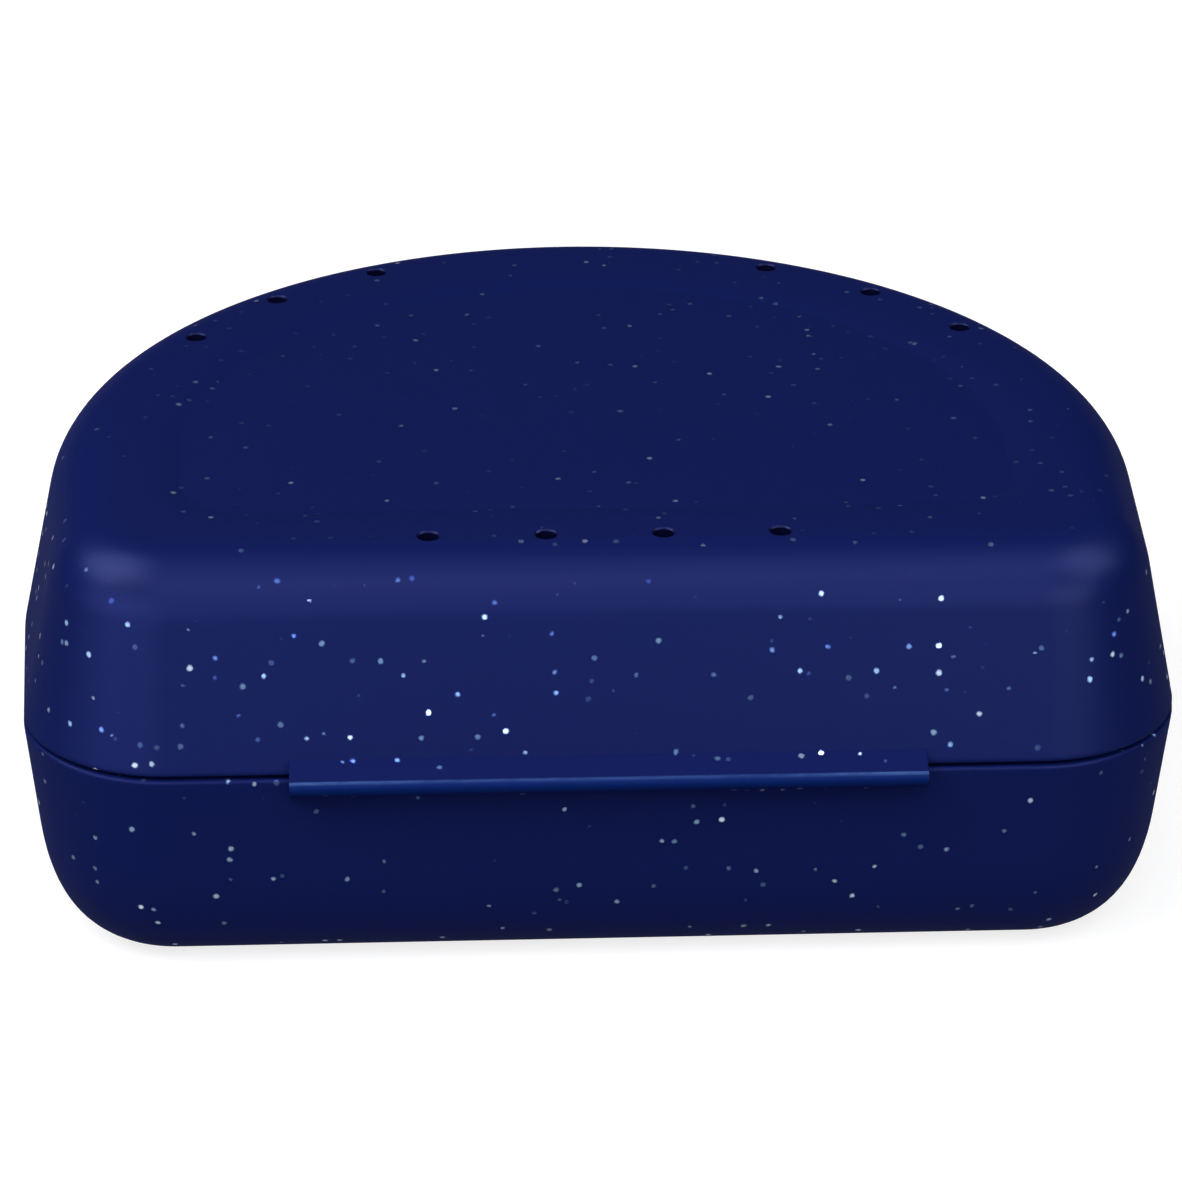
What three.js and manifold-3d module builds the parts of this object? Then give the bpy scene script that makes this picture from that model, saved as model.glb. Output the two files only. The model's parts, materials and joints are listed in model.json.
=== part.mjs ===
// Vented retainer case: a D-shaped clamshell moulded in one piece, with a living hinge on its straight wall.
// Millimetres, +Z up. The straight, hinged wall faces -Y, and the rounded side that opens faces +Y.
// The origin is under the middle of the closed case, on the surface that it stands on.

import * as THREE from "three";
import { mergeVertices } from "three/addons/utils/BufferGeometryUtils.js";
import Module from "manifold-3d";

const wasm = await Module();
wasm.setup();

const { degToRad } = THREE.MathUtils;

// Overall size of the two shells, closed
const width = 86;
const depth = 69; // from the straight wall to the far point of the round side
const height = 32.5;
const seamHeight = 17.2; // the parting plane, above the underside
const seamGap = 0.3; // what shows between the two rims
const wall = 1.8;

// Plan: a straight front, rounded corners, sides that lean in to the front, and a half-round back
const cornerRadius = 11;
const sideLean = degToRad(3);
const cornerSteps = 8;
const backSteps = 48;

// Base section: a leaning wall that runs out into a wide, soft foot
const baseDraft = degToRad(6);
const footInset = 7.9; // from the seam's outline in to the flat underside
const footRise = 8.7; // the height where the foot's curve leaves the wall
const footSteps = 8;

// Lid section: a leaning wall, and a round over to the flat top
const lidDraft = degToRad(12);
const topRound = 5;
const topSteps = 8;

// Rims: the base's inner half stands up as a tongue, in a rebate inside the lid's rim
const rimRound = 0.3;
const rimSteps = 3;
const lidRimWidth = 0.95;
const tongueClearance = 0.25;
const tongueHeight = 1.5;
const tongueChamfer = 0.15;
const rebateHeadroom = 0.3;

// Snap: one half-round bead on the tongue and one on the lid's rim, which pass each other with a click
const beadRadius = 0.22;
const beadReach = 0.2;
const beadHalfAngle = degToRad(14);
const baseBeadDrop = 0.25; // from the tongue's top down to the bead's middle
const lidBeadRise = 0.27; // from the lid's rim up to the bead's middle
const beadSides = 8;
const beadSteps = 12;

// Top panel: a shallow D-shaped dish, with a flat ring between it and the lid's round
const ringFrontWidth = 2.4;
const ringSideWidth = 1.8;
const ringBackWidth = 4.1;
const panelSlopeWidth = 3;
const panelCorner = 5;
const panelDepth = 0.4;
const panelSlopeSteps = 4;

// Vents through the lid: a row along the hinged edge, and a row round each shoulder
const ventDiameter = 1.5;
const ventChamfer = 0.12;
const ventInset = 7.65; // from the seam's outline to the vents' middles
const frontVentCount = 4;
const frontVentPitch = 8.4;
const backVentAngles = [26.6, 42.3, 58.2].map(degToRad); // either side of the case's middle
const ventSides = 16;

// Living hinge: a wedge-shaped flange on each shell, and the thin web that folds round between them
const hingeLength = 45.5;
const foldReach = 1.3; // from the straight wall's outline to the middle of the fold
const foldRadius = 0.65; // the fold's outer surface
const webThickness = 0.35;
const foldHalfAngle = degToRad(57); // the web runs this far above and below the parting plane
const webSteps = 10;
const flangeSkin = 0.15; // what is left of the lid's rim behind the root of the flange

// Lips at the middle of the round side: the lid's is for the thumb, and the base's is shorter
const lipWidth = 24;
const lidLipReach = 3;
const baseLipReach = 1.3;
const lipThickness = 1.4;
const lipBevel = 0.35;
const lipRoot = 0.75; // from the seam's outline in to a lip's inner edge
const lipSteps = 20;

// How far a cut runs past what it cuts, and how close two points are before they are one
const overrun = 1;
const weldDistance = 1e-5;

// Worked out from the sizes above
const backRadius = width / 2;
const backCentre = depth - backRadius;
const baseRim = seamHeight - seamGap / 2;
const lidRim = seamHeight + seamGap / 2;
const tongueOuter = lidRimWidth + tongueClearance;
const tongueTop = baseRim + tongueHeight;
const rebateTop = tongueTop + rebateHeadroom;
const ceiling = height - wall;
const roundStart = height - topRound * (1 - Math.sin(lidDraft)); // where the lid's wall meets its round
const topInset = (roundStart - seamHeight) * Math.tan(lidDraft) + topRound * Math.cos(lidDraft);
const panelRadius = backRadius - topInset - ringSideWidth - panelSlopeWidth;
const flangeRoot = lidRimWidth - flangeSkin;
const hingeReach = foldReach + foldRadius;
const webMiddle = foldRadius - webThickness / 2;
// The lid turns about a line half the web's length beyond the flanges, so that the web lies flat when it is open
const hingeAxisReach = foldReach + webMiddle * (Math.cos(foldHalfAngle) + foldHalfAngle);

const point = (across, up) => new THREE.Vector2(across, up);

// Plan outlines. Each ring has the same number of points, in the same order, so that rings can be lofted.

const bodyPlan = { radius: backRadius, centre: backCentre, corner: cornerRadius, front: 0 };

const panelPlan = {
  radius: panelRadius,
  centre: depth - topInset - ringBackWidth - panelSlopeWidth - panelRadius,
  corner: panelCorner,
  front: topInset + ringFrontWidth + panelSlopeWidth,
};

function planRing(plan, inset, z) {
  const { radius, centre, corner, front } = plan;
  const cornerY = front + corner;
  // On a plan that is too shallow for straight sides, the corners run straight into the round back
  const lean = Math.min(sideLean, Math.asin((centre - cornerY) / (radius - corner)));
  const cornerX = (radius - corner - (centre - cornerY) * Math.sin(lean)) / Math.cos(lean);
  const arc = (x, y, r, from, to, steps) =>
    new THREE.EllipseCurve(x, y, r - inset, r - inset, from, to).getPoints(steps);
  const ring = [
    ...arc(cornerX, cornerY, corner, -Math.PI / 2, -lean, cornerSteps),
    ...arc(0, centre, radius, -lean, Math.PI + lean, backSteps),
    ...arc(-cornerX, cornerY, corner, Math.PI + lean, (3 * Math.PI) / 2, cornerSteps),
  ];
  return ring.map((p) => new THREE.Vector3(p.x, p.y, z));
}

// A closed skin over a stack of rings, with its first and last ring filled in.
function loft(rings) {
  const count = rings[0].length;
  const geometry = new THREE.BufferGeometry().setFromPoints(rings.flat());
  const index = [];
  for (let level = 0; level + 1 < rings.length; level++) {
    for (let i = 0; i < count; i++) {
      const next = (i + 1) % count;
      const [a, b] = [level * count + i, level * count + next];
      const [c, d] = [b + count, a + count];
      index.push(a, b, c, a, c, d);
    }
  }
  const lastRing = (rings.length - 1) * count;
  for (const [a, b, c] of THREE.ShapeUtils.triangulateShape(rings[0], [])) index.push(a, c, b);
  for (const [a, b, c] of THREE.ShapeUtils.triangulateShape(rings.at(-1), [])) {
    index.push(lastRing + a, lastRing + b, lastRing + c);
  }
  return geometry.setIndex(index);
}

// Wall sections: points of inset from the seam's outline, and height.

const baseWallInset = (z) => (seamHeight - z) * Math.tan(baseDraft);
const lidWallInset = (z) => (z - seamHeight) * Math.tan(lidDraft);

// The same section moved inwards by a wall's thickness, corner by corner.
function offsetSection(section, distance) {
  return section.map((p, i) => {
    const before = section[Math.max(i - 1, 0)];
    const after = section[Math.min(i + 1, section.length - 1)];
    const inDirection = p.clone().sub(before);
    const outDirection = after.clone().sub(p);
    if (i === 0) inDirection.copy(outDirection);
    if (i === section.length - 1) outDirection.copy(inDirection);
    inDirection.normalize();
    outDirection.normalize();
    const along = inDirection.clone().add(outDirection).normalize();
    const mitre = distance / along.dot(outDirection);
    return point(p.x + along.y * mitre, p.y - along.x * mitre);
  });
}

// The outside of the base, from the edge of its underside up to the seam.
function baseSection() {
  const foot = new THREE.QuadraticBezierCurve(
    point(footInset, 0),
    point(baseWallInset(0), 0),
    point(baseWallInset(footRise), footRise),
  );
  return [...foot.getPoints(footSteps), point(0, seamHeight)];
}

// The outside of the lid, from the seam up to the edge of its flat top.
function lidSection() {
  const round = new THREE.EllipseCurve(
    topInset,
    height - topRound,
    topRound,
    topRound,
    Math.PI - lidDraft,
    Math.PI / 2,
    true,
  );
  return [point(0, seamHeight), ...round.getPoints(topSteps)];
}

// The rounded outer edge of a rim; side is 1 where the rim faces up and -1 where it faces down.
function rimEdge(rim, wallInset, side) {
  const start = rim - side * rimRound;
  const edge = new THREE.QuadraticBezierCurve(
    point(wallInset(start), start),
    point(wallInset(rim), rim),
    point(wallInset(rim) + rimRound, rim),
  );
  return edge.getPoints(rimSteps);
}

function baseShellRings() {
  const outside = baseSection();
  // The outside points run up, so the wall's inner face is to their right
  const inside = offsetSection(outside, wall).reverse();
  const tongueInner = inside[0].x;
  const section = [
    ...outside.slice(0, -1),
    ...rimEdge(baseRim, baseWallInset, 1),
    point(tongueOuter, baseRim),
    point(tongueOuter, tongueTop - tongueChamfer),
    point(tongueOuter + tongueChamfer, tongueTop),
    point(tongueInner - tongueChamfer, tongueTop),
    point(tongueInner, tongueTop - tongueChamfer),
    point(tongueInner, baseRim),
    ...inside.slice(1),
  ];
  return section.map((p) => planRing(bodyPlan, p.x, p.y));
}

// The dish in the lid's top: it bends down from the flat and ends at a crease round the panel.
function panelRings() {
  const rings = [];
  for (let step = 0; step <= panelSlopeSteps; step++) {
    const share = step / panelSlopeSteps;
    const drop = panelDepth * share * share;
    rings.push(planRing(panelPlan, -panelSlopeWidth * (1 - share), height - drop));
  }
  return rings;
}

function lidShellRings() {
  const outside = lidSection();
  const inside = offsetSection(outside, wall).reverse();
  const innerWallInset = lidWallInset(rebateTop) + wall / Math.cos(lidDraft);
  const section = [
    ...inside.slice(0, -1),
    point(innerWallInset, rebateTop),
    point(lidRimWidth, rebateTop),
    point(lidRimWidth, lidRim),
    ...rimEdge(lidRim, lidWallInset, -1).reverse(),
    ...outside.slice(1),
  ];
  return [...section.map((p) => planRing(bodyPlan, p.x, p.y)), ...panelRings()];
}

// A flange's section, above the parting plane: y outwards is negative, and z is from the parting plane.
function flangeSection() {
  const tangent = point(
    -foldReach - foldRadius * Math.cos(foldHalfAngle),
    foldRadius * Math.sin(foldHalfAngle),
  );
  const slope = Math.tan(Math.PI / 2 - foldHalfAngle);
  const halfGap = seamGap / 2;
  return [
    point(flangeRoot, halfGap),
    point(flangeRoot, tangent.y + (flangeRoot - tangent.x) * slope),
    tangent,
    point(-foldReach - halfGap / Math.tan(foldHalfAngle), halfGap),
  ];
}

// The folded web's section, round the middle of the fold.
function webSection() {
  const arc = (r, from, to) => {
    const curve = new THREE.EllipseCurve(0, 0, r, r, Math.PI + from, Math.PI + to, from > to);
    return curve.getPoints(webSteps);
  };
  return [
    ...arc(foldRadius, -foldHalfAngle, foldHalfAngle),
    ...arc(foldRadius - webThickness, foldHalfAngle, -foldHalfAngle),
  ];
}

// A section in the YZ plane, run along X for the length of the hinge.
function hingeBar(section) {
  const bar = new THREE.ExtrudeGeometry(new THREE.Shape(section), {
    depth: hingeLength,
    steps: 1,
    bevelEnabled: false,
  });
  const [x, y, z] = [new THREE.Vector3(1, 0, 0), new THREE.Vector3(0, 1, 0), new THREE.Vector3(0, 0, 1)];
  return bar.applyMatrix4(new THREE.Matrix4().makeBasis(y, z, x)).translate(-hingeLength / 2, 0, 0);
}

// A crescent that stands out of the round side by reach, with its inner edge inside the wall.
function lipGeometry(reach, bottom) {
  const half = lipWidth / 2 - lipBevel;
  const endY = backCentre + Math.sqrt(backRadius ** 2 - half ** 2);
  const rise = depth + reach - lipBevel - endY;
  const radius = (half ** 2 + rise ** 2) / (2 * rise);
  const outerEnd = Math.asin(half / radius);
  const innerRadius = backRadius - lipRoot + lipBevel;
  const innerEnd = Math.asin(half / innerRadius);
  const outline = new THREE.Shape();
  outline.absarc(0, endY + rise - radius, radius, Math.PI / 2 - outerEnd, Math.PI / 2 + outerEnd, false);
  outline.absarc(0, backCentre, innerRadius, Math.PI / 2 + innerEnd, Math.PI / 2 - innerEnd, true);
  return new THREE.ExtrudeGeometry(outline, {
    depth: lipThickness - 2 * lipBevel,
    bevelThickness: lipBevel,
    bevelSize: lipBevel,
    bevelSegments: 2,
    curveSegments: lipSteps / 2,
  }).translate(0, 0, bottom + lipBevel);
}

// A round bar along the back of the rims, its middle at an inset from the seam's outline.
function beadGeometry(inset, z) {
  const radius = backRadius - inset;
  const path = new THREE.Curve();
  path.getPoint = (t, target = new THREE.Vector3()) => {
    const angle = Math.PI / 2 + beadHalfAngle * (2 * t - 1);
    return target.set(radius * Math.cos(angle), backCentre + radius * Math.sin(angle), z);
  };
  const section = new THREE.Shape().absarc(0, 0, beadRadius, 0, 2 * Math.PI);
  return new THREE.ExtrudeGeometry(section, {
    steps: beadSteps,
    curveSegments: beadSides / 2,
    extrudePath: path,
  });
}

// A vent's cutter, upright at the origin, with its chamfer where it leaves the flat top.
function ventCutter() {
  const radius = ventDiameter / 2;
  const profile = [
    point(0, ceiling - overrun),
    point(radius, ceiling - overrun),
    point(radius, height - ventChamfer),
    point(radius + ventChamfer + overrun, height + overrun),
    point(0, height + overrun),
  ];
  return new THREE.LatheGeometry(profile, ventSides).rotateX(Math.PI / 2);
}

function ventPlaces() {
  const places = [];
  for (let i = 0; i < frontVentCount; i++) {
    places.push(point((i - (frontVentCount - 1) / 2) * frontVentPitch, ventInset));
  }
  const radius = backRadius - ventInset;
  for (const angle of backVentAngles) {
    for (const side of [-1, 1]) {
      places.push(point(side * radius * Math.sin(angle), backCentre + radius * Math.cos(angle)));
    }
  }
  return places;
}

// Solids to join and cut, and back again.

function toSolid(geometry) {
  const bare = geometry.clone();
  for (const name of Object.keys(bare.attributes)) if (name !== "position") bare.deleteAttribute(name);
  const merged = mergeVertices(bare, weldDistance);
  return new wasm.Manifold(
    new wasm.Mesh({
      numProp: 3,
      vertProperties: merged.attributes.position.array,
      triVerts: new Uint32Array(merged.index.array),
    }),
  );
}

function toGeometry(solid) {
  const mesh = solid.getMesh();
  const geometry = new THREE.BufferGeometry();
  geometry.setAttribute("position", new THREE.BufferAttribute(new Float32Array(mesh.vertProperties), 3));
  geometry.setIndex(new THREE.BufferAttribute(new Uint32Array(mesh.triVerts), 1));
  geometry.computeVertexNormals();
  return geometry;
}

function baseShell() {
  const flange = hingeBar(flangeSection()).rotateY(Math.PI).translate(0, 0, seamHeight);
  return [flange, lipGeometry(baseLipReach, baseRim - lipThickness)].reduce(
    (shell, piece) => shell.add(toSolid(piece)),
    toSolid(loft(baseShellRings())).add(
      toSolid(beadGeometry(tongueOuter + beadRadius - beadReach, tongueTop - baseBeadDrop)),
    ),
  );
}

function lidShell() {
  const flange = hingeBar(flangeSection()).translate(0, 0, seamHeight);
  const bead = beadGeometry(lidRimWidth - beadRadius + beadReach, lidRim + lidBeadRise);
  let shell = toSolid(loft(lidShellRings()));
  for (const piece of [flange, bead, lipGeometry(lidLipReach, lidRim)]) shell = shell.add(toSolid(piece));
  const cutter = ventCutter();
  for (const place of ventPlaces()) {
    shell = shell.subtract(toSolid(cutter.clone().translate(place.x, place.y, 0)));
  }
  return shell;
}

// Materials: one navy polypropylene, a little lighter where the web is thin
const shellPlastic = new THREE.MeshStandardMaterial({ color: 0x1b2464, roughness: 0.38, metalness: 0 });
const webPlastic = new THREE.MeshStandardMaterial({ color: 0x1f2c78, roughness: 0.34, metalness: 0 });

function namedMesh(name, geometry, material) {
  const mesh = new THREE.Mesh(geometry, material);
  mesh.name = name;
  return mesh;
}

// The case, closed, with its bounding box centred on the origin
const retainerCase = new THREE.Group();
retainerCase.position.y = (hingeReach - depth - lidLipReach) / 2;

retainerCase.add(namedMesh("base_shell", toGeometry(baseShell()), shellPlastic));

const hingeWeb = namedMesh("hinge_web", hingeBar(webSection()), webPlastic);
hingeWeb.position.set(0, -foldReach, seamHeight);
retainerCase.add(hingeWeb);

// The lid hangs in a group of its own at the hinge's axis: turning that group about X opens the case
const lidPivot = new THREE.Group();
lidPivot.position.set(0, -hingeAxisReach, seamHeight);
retainerCase.add(lidPivot);

const lid = namedMesh("lid_shell", toGeometry(lidShell()), shellPlastic);
lid.position.copy(lidPivot.position).negate();
lidPivot.add(lid);

export default retainerCase;
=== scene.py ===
import json
import math
import bmesh
import bpy
from mathutils import Matrix, Vector


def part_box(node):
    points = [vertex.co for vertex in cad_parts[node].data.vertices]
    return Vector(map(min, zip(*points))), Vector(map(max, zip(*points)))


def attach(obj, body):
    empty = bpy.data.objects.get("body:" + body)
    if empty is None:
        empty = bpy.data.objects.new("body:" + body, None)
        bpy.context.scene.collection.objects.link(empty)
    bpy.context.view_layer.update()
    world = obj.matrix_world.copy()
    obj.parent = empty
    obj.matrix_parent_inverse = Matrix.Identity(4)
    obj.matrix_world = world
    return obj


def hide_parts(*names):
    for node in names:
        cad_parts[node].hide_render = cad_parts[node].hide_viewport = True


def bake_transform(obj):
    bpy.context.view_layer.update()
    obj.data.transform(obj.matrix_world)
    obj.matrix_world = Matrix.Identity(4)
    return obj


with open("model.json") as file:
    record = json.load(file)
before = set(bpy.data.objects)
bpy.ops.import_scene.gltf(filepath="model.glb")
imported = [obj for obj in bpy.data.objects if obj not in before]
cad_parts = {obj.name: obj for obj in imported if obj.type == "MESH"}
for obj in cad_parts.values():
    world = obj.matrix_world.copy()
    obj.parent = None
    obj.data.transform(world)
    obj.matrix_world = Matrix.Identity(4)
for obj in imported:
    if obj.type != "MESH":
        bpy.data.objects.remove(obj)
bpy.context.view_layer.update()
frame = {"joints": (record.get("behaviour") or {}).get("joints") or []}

# The vented retainer case, closed: a glittery navy clamshell on a white table.
# Meshes are modelled in millimetres and scaled to metres once, when a piece is finished.
MM = 0.001


def box_mm(node):
    """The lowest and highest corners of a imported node, in millimetres."""
    return [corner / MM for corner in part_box(node)]


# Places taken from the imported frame
BASE_HIGH = box_mm("base_shell")[1]
LID_LOW, LID_HIGH = box_mm("lid_shell")
WEB_LOW, WEB_HIGH = box_mm("hinge_web")
HINGE_AXIS = Vector(frame["joints"][0]["pos_m"]) / MM
SEAM = HINGE_AXIS.z
HEIGHT = LID_HIGH.z
TONGUE_TOP = BASE_HIGH.z
LID_RIM = LID_LOW.z
BASE_RIM = 2 * SEAM - LID_RIM
HINGE_LENGTH = WEB_HIGH.x - WEB_LOW.x

# Hinge section: flanges that taper to a thin web, folded round a small radius. The lid's flange is thinner
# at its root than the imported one, as photographed. The web's ends overlap the flanges by a small angle, and
# the web lies just inside them, so that no two faces share a place.
FOLD_REACH = 1.3
FOLD_RADIUS = 0.65
WEB_THICKNESS = 0.35
FOLD_HALF_ANGLE = math.radians(57)
FLANGE_ROOT = 0.8
BASE_FLANGE_SLOPE = 1 / math.tan(FOLD_HALF_ANGLE)
LID_FLANGE_SLOPE = math.tan(math.radians(21))
WEB_OVERLAP_ANGLE = math.radians(3)
WEB_SINK = 0.005
WEB_STEPS = 24

# Lips on the round side
LIP_WIDTH = 24
LID_LIP_REACH = 3
BASE_LIP_REACH = 1.3
LIP_THICKNESS = 1.4
LIP_BEVEL = 0.35
LIP_BEVEL_STEPS = 4
LIP_ROOT = 0.75
LIP_STEPS = 28

# Plan: a straight front, rounded corners, leaning sides and a half-round back
FRONT = WEB_LOW.y + FOLD_REACH + FOLD_RADIUS
WIDTH = 86
DEPTH = LID_HIGH.y - LID_LIP_REACH - FRONT
CORNER_RADIUS = 11
SIDE_LEAN = math.radians(3)
CORNER_STEPS = 20
BACK_STEPS = 120

# Sections
WALL = 1.8
BASE_DRAFT = math.radians(6)
FOOT_INSET = 7.9
FOOT_RISE = 8.7
FOOT_STEPS = 18
LID_DRAFT = math.radians(12)
TOP_ROUND = 5
TOP_STEPS = 18
EDGE_ROUND = 0.3
EDGE_STEPS = 4
LID_RIM_WIDTH = 0.95
TONGUE_CLEARANCE = 0.25
TONGUE_CHAMFER = 0.15
REBATE_HEADROOM = 0.3

# Snap beads
BEAD_RADIUS = 0.22
BEAD_REACH = 0.2
BEAD_HALF_ANGLE = math.radians(14)
BEAD_SIDES = 16
BEAD_STEPS = 24
BASE_BEAD_DROP = 0.25
LID_BEAD_RISE = 0.27

# Top panel
RING_FRONT_WIDTH = 2.4
RING_SIDE_WIDTH = 1.8
RING_BACK_WIDTH = 4.1
PANEL_SLOPE_WIDTH = 3
PANEL_CORNER = 5
PANEL_DEPTH = 0.4
PANEL_STEPS = 8

# Vents
VENT_DIAMETER = 1.5
VENT_CHAMFER = 0.12
VENT_INSET = 7.65
VENT_SIDES = 32
FRONT_VENT_COUNT = 4
FRONT_VENT_PITCH = 8.4
BACK_VENT_ANGLES = [math.radians(angle) for angle in (26.6, 42.3, 58.2)]

# The mesh attribute that marks the vents' bores with 1 and their chamfers with less, where the material
# paints shade into the holes. A face whose normal rises more than the first limit belongs to the top, and
# more than the second to a chamfer.
BORE_SHADE_MARK = "bore_shade"
CHAMFER_SHADE_MARK = 0.5
FLAT_NORMAL_Z = 0.9
CHAMFER_NORMAL_Z = 0.5

# Creases sharper than this are shaded crisp
SHARP_ANGLE = math.radians(28)

# How far a cut runs past what it cuts
OVERRUN = 1

# How wide a border keeps a flat face's shading flat, and the shortest straight that gets one at either end
FLAT_BORDER = 0.25
SHORTEST_BORDERED = 4 * FLAT_BORDER

# How far a joined piece stays inside a face that it lines up with, so that no two faces share a plane
SINK = 0.02

# Two points closer than this are one
WELD = 0.001

# Worked out from the sizes above
BACK_RADIUS = WIDTH / 2
BACK_CENTRE = FRONT + DEPTH - BACK_RADIUS
TOP_ROUND_START = HEIGHT - TOP_ROUND * (1 - math.sin(LID_DRAFT))
TOP_INSET = (TOP_ROUND_START - SEAM) * math.tan(LID_DRAFT) + TOP_ROUND * math.cos(LID_DRAFT)
PANEL_RADIUS = BACK_RADIUS - TOP_INSET - RING_SIDE_WIDTH - PANEL_SLOPE_WIDTH
TONGUE_OUTER = LID_RIM_WIDTH + TONGUE_CLEARANCE
REBATE_TOP = TONGUE_TOP + REBATE_HEADROOM

BODY_PLAN = {"radius": BACK_RADIUS, "centre": BACK_CENTRE, "corner": CORNER_RADIUS, "front": FRONT}
PANEL_PLAN = {
    "radius": PANEL_RADIUS,
    "centre": FRONT + DEPTH - TOP_INSET - RING_BACK_WIDTH - PANEL_SLOPE_WIDTH - PANEL_RADIUS,
    "corner": PANEL_CORNER,
    "front": FRONT + TOP_INSET + RING_FRONT_WIDTH + PANEL_SLOPE_WIDTH,
}


# Mesh helpers

def of_kind(items, kind):
    """The vertices or the edges among what an operator made."""
    return [item for item in items if isinstance(item, kind)]


def run_along(bm, edges, step):
    """Draws the section on in a straight line, with a border at either end for flat shading."""
    border = step.normalized() * FLAT_BORDER
    for move in (border, step - 2 * border, border):
        grown = bmesh.ops.extrude_edge_only(bm, edges=edges)["geom"]
        edges = of_kind(grown, bmesh.types.BMEdge)
        bmesh.ops.translate(bm, vec=move, verts=of_kind(grown, bmesh.types.BMVert))
    return edges


def turn_about(bm, edges, centre, angle, steps):
    """Turns the section on round an upright axis."""
    spun = bmesh.ops.spin(bm, geom=edges, cent=centre, axis=(0, 0, 1), angle=angle, steps=steps)
    return of_kind(spun["geom_last"], bmesh.types.BMEdge)


def sweep(bm, plan, section):
    """Sweeps a section of (inset, height) points all round a D-shaped plan, from the middle of its front."""
    corner, radius, centre_y = plan["corner"], plan["radius"], plan["centre"]
    corner_y = plan["front"] + corner
    lean = Vector((math.cos(SIDE_LEAN), -math.sin(SIDE_LEAN), 0))
    corner_x = (radius - corner + (centre_y - corner_y) * lean.y) / lean.x
    side = Vector((-corner_x, centre_y - corner_y, 0)) + (radius - corner) * lean
    quarter = math.pi / 2 - SIDE_LEAN

    chain = [bm.verts.new((0, plan["front"] + inset, z)) for inset, z in section]
    edges = [bm.edges.new(pair) for pair in zip(chain, chain[1:])]
    edges = run_along(bm, edges, Vector((corner_x, 0, 0)))
    edges = turn_about(bm, edges, (corner_x, corner_y, 0), quarter, CORNER_STEPS)
    edges = run_along(bm, edges, side)
    edges = turn_about(bm, edges, (0, centre_y, 0), math.pi + 2 * SIDE_LEAN, BACK_STEPS)
    edges = run_along(bm, edges, Vector((side.x, -side.y, 0)))
    edges = turn_about(bm, edges, (-corner_x, corner_y, 0), quarter, CORNER_STEPS)
    run_along(bm, edges, Vector((corner_x, 0, 0)))
    bmesh.ops.remove_doubles(bm, verts=bm.verts, dist=WELD)


def open_edges(bm, z):
    """The edges at height z that have a face on one side only."""
    rims = [edge for edge in bm.edges if edge.is_boundary]
    return [edge for edge in rims if all(abs(v.co.z - z) < WELD for v in edge.verts)]


def to_object(name, bm):
    """The finished bmesh as an object, closed and facing outwards."""
    bmesh.ops.remove_doubles(bm, verts=bm.verts, dist=WELD)
    bmesh.ops.recalc_face_normals(bm, faces=bm.faces)
    mesh = bpy.data.meshes.new(name)
    bm.to_mesh(mesh)
    bm.free()
    piece = bpy.data.objects.new(name, mesh)
    bpy.context.scene.collection.objects.link(piece)
    return piece


def boolean(piece, tool, operation):
    """Joins or cuts piece with tool, which is used up."""
    modifier = piece.modifiers.new(operation.lower(), "BOOLEAN")
    modifier.operation = operation
    modifier.solver = "EXACT"
    modifier.object = tool
    depsgraph = bpy.context.evaluated_depsgraph_get()
    mesh = bpy.data.meshes.new_from_object(piece.evaluated_get(depsgraph))
    piece.modifiers.clear()
    piece.data = mesh
    bpy.data.objects.remove(tool)


def finish_piece(piece, body, material, node):
    """Smooth shading with crisp creases, metres, a finish and a body to ride on."""
    bm = bmesh.new()
    bm.from_mesh(piece.data)
    bmesh.ops.scale(bm, vec=(MM, MM, MM), verts=bm.verts)
    for face in bm.faces:
        face.smooth = True
    for edge in bm.edges:
        edge.smooth = not (edge.is_manifold and edge.calc_face_angle() > SHARP_ANGLE)
    bm.to_mesh(piece.data)
    bm.free()
    piece.data.materials.clear()
    piece.data.materials.append(material)
    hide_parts(node)
    if body:
        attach(piece, body)


# Sections: lists of (inset from the seam's outline, height)

def arc(centre, radius, start, end, steps):
    """Points along a circle from one angle to another."""
    angles = [start + (end - start) * step / steps for step in range(steps + 1)]
    return [(centre[0] + radius * math.cos(a), centre[1] + radius * math.sin(a)) for a in angles]


def quadratic(start, middle, end, steps):
    """Points along a soft curve that leaves start and reaches end in the directions of middle."""
    points = []
    for step in range(steps + 1):
        t = step / steps
        points.append(tuple(
            (1 - t) ** 2 * a + 2 * t * (1 - t) * b + t * t * c for a, b, c in zip(start, middle, end)
        ))
    return points


def base_wall(z):
    """How far the base's outside lies inside the seam's outline at height z."""
    return (SEAM - z) * math.tan(BASE_DRAFT)


def lid_wall(z):
    """How far the lid's outside lies inside the seam's outline at height z."""
    return (z - SEAM) * math.tan(LID_DRAFT)


def offset(section, distance):
    """The section moved to its right by distance, mitred at its points."""
    moved = []
    for i, here in enumerate(section):
        before = Vector(section[max(i - 1, 0)])
        after = Vector(section[min(i + 1, len(section) - 1)])
        into = (Vector(here) - before) if i else (after - Vector(here))
        out = (after - Vector(here)) if i + 1 < len(section) else into
        along = (into.normalized() + out.normalized()).normalized()
        mitre = distance / along.dot(out.normalized())
        moved.append((here[0] + along.y * mitre, here[1] - along.x * mitre))
    return moved


def bordered(section):
    """The section with a point added near either end of each long straight."""
    points = []
    for start, end in zip(section, section[1:]):
        points.append(start)
        length = math.dist(start, end)
        if length > SHORTEST_BORDERED:
            for share in (FLAT_BORDER / length, 1 - FLAT_BORDER / length):
                points.append(tuple(a + (b - a) * share for a, b in zip(start, end)))
    return [*points, section[-1]]


def rim_edge(rim, wall_inset, side):
    """The rounded edge between a wall and its rim; side is 1 with the wall below the rim, and -1 above."""
    start = rim - side * EDGE_ROUND
    corner = wall_inset(rim)
    return quadratic((wall_inset(start), start), (corner, rim), (corner + EDGE_ROUND, rim), EDGE_STEPS)


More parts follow.
